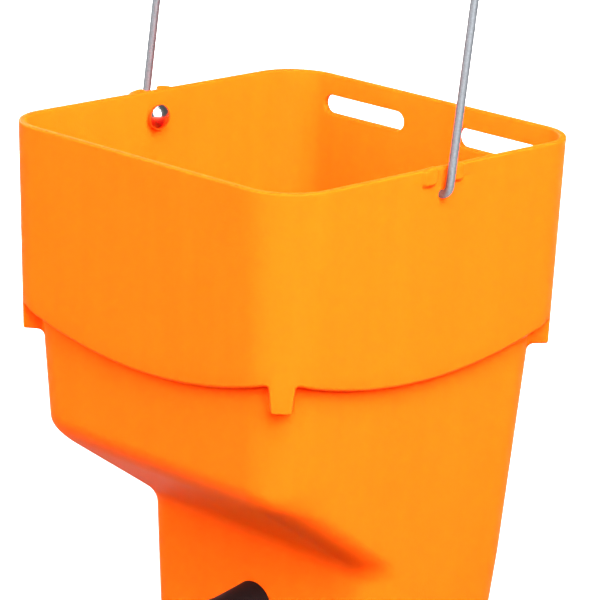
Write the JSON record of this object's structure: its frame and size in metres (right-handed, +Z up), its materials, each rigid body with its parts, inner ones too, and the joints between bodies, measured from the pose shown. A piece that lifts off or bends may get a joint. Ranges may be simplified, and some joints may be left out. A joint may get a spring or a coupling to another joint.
{
  "type": "calf feeder bucket",
  "caption": "Square moulded calf feeder bucket with a stepped body, a ledge over a recessed front wall, a rubber teat, hanging slots and a swinging wire bail.",
  "frame": {"origin": "on the floor plane under the middle of the rim", "axes": "+Z up; -Y is the front, with the ledge, the recessed wall and the teat; +Y is the back, with the hanging slots; X runs along the bail's pivot line"},
  "size_m": [0.2664, 0.254, 0.5201],
  "materials": {
    "moulded_plastic": "satin moulded polyethylene, dyed through",
    "bail_wire": "drawn galvanised wire",
    "spring_steel": "plain spring steel",
    "bright_cap": "polished pressed cap",
    "teat_rubber": "soft black rubber, slightly satin"
  },
  "bodies": {
    "bucket_body": {"bucket": "moulded_plastic", "teat": "teat_rubber"},
    "bail_body": {"bail": "bail_wire", "grip_disc_left": "spring_steel", "grip_disc_right": "spring_steel", "end_cap_left": "bright_cap", "end_cap_right": "bright_cap"}
  },
  "joints": [
    {"name": "bail_swing", "type": "hinge", "parent": "bucket_body", "child": "bail_body", "pos_m": [0, -0.002, 0.329], "axis": [1, 0, 0], "range_deg": [-134, 150]}
  ]
}
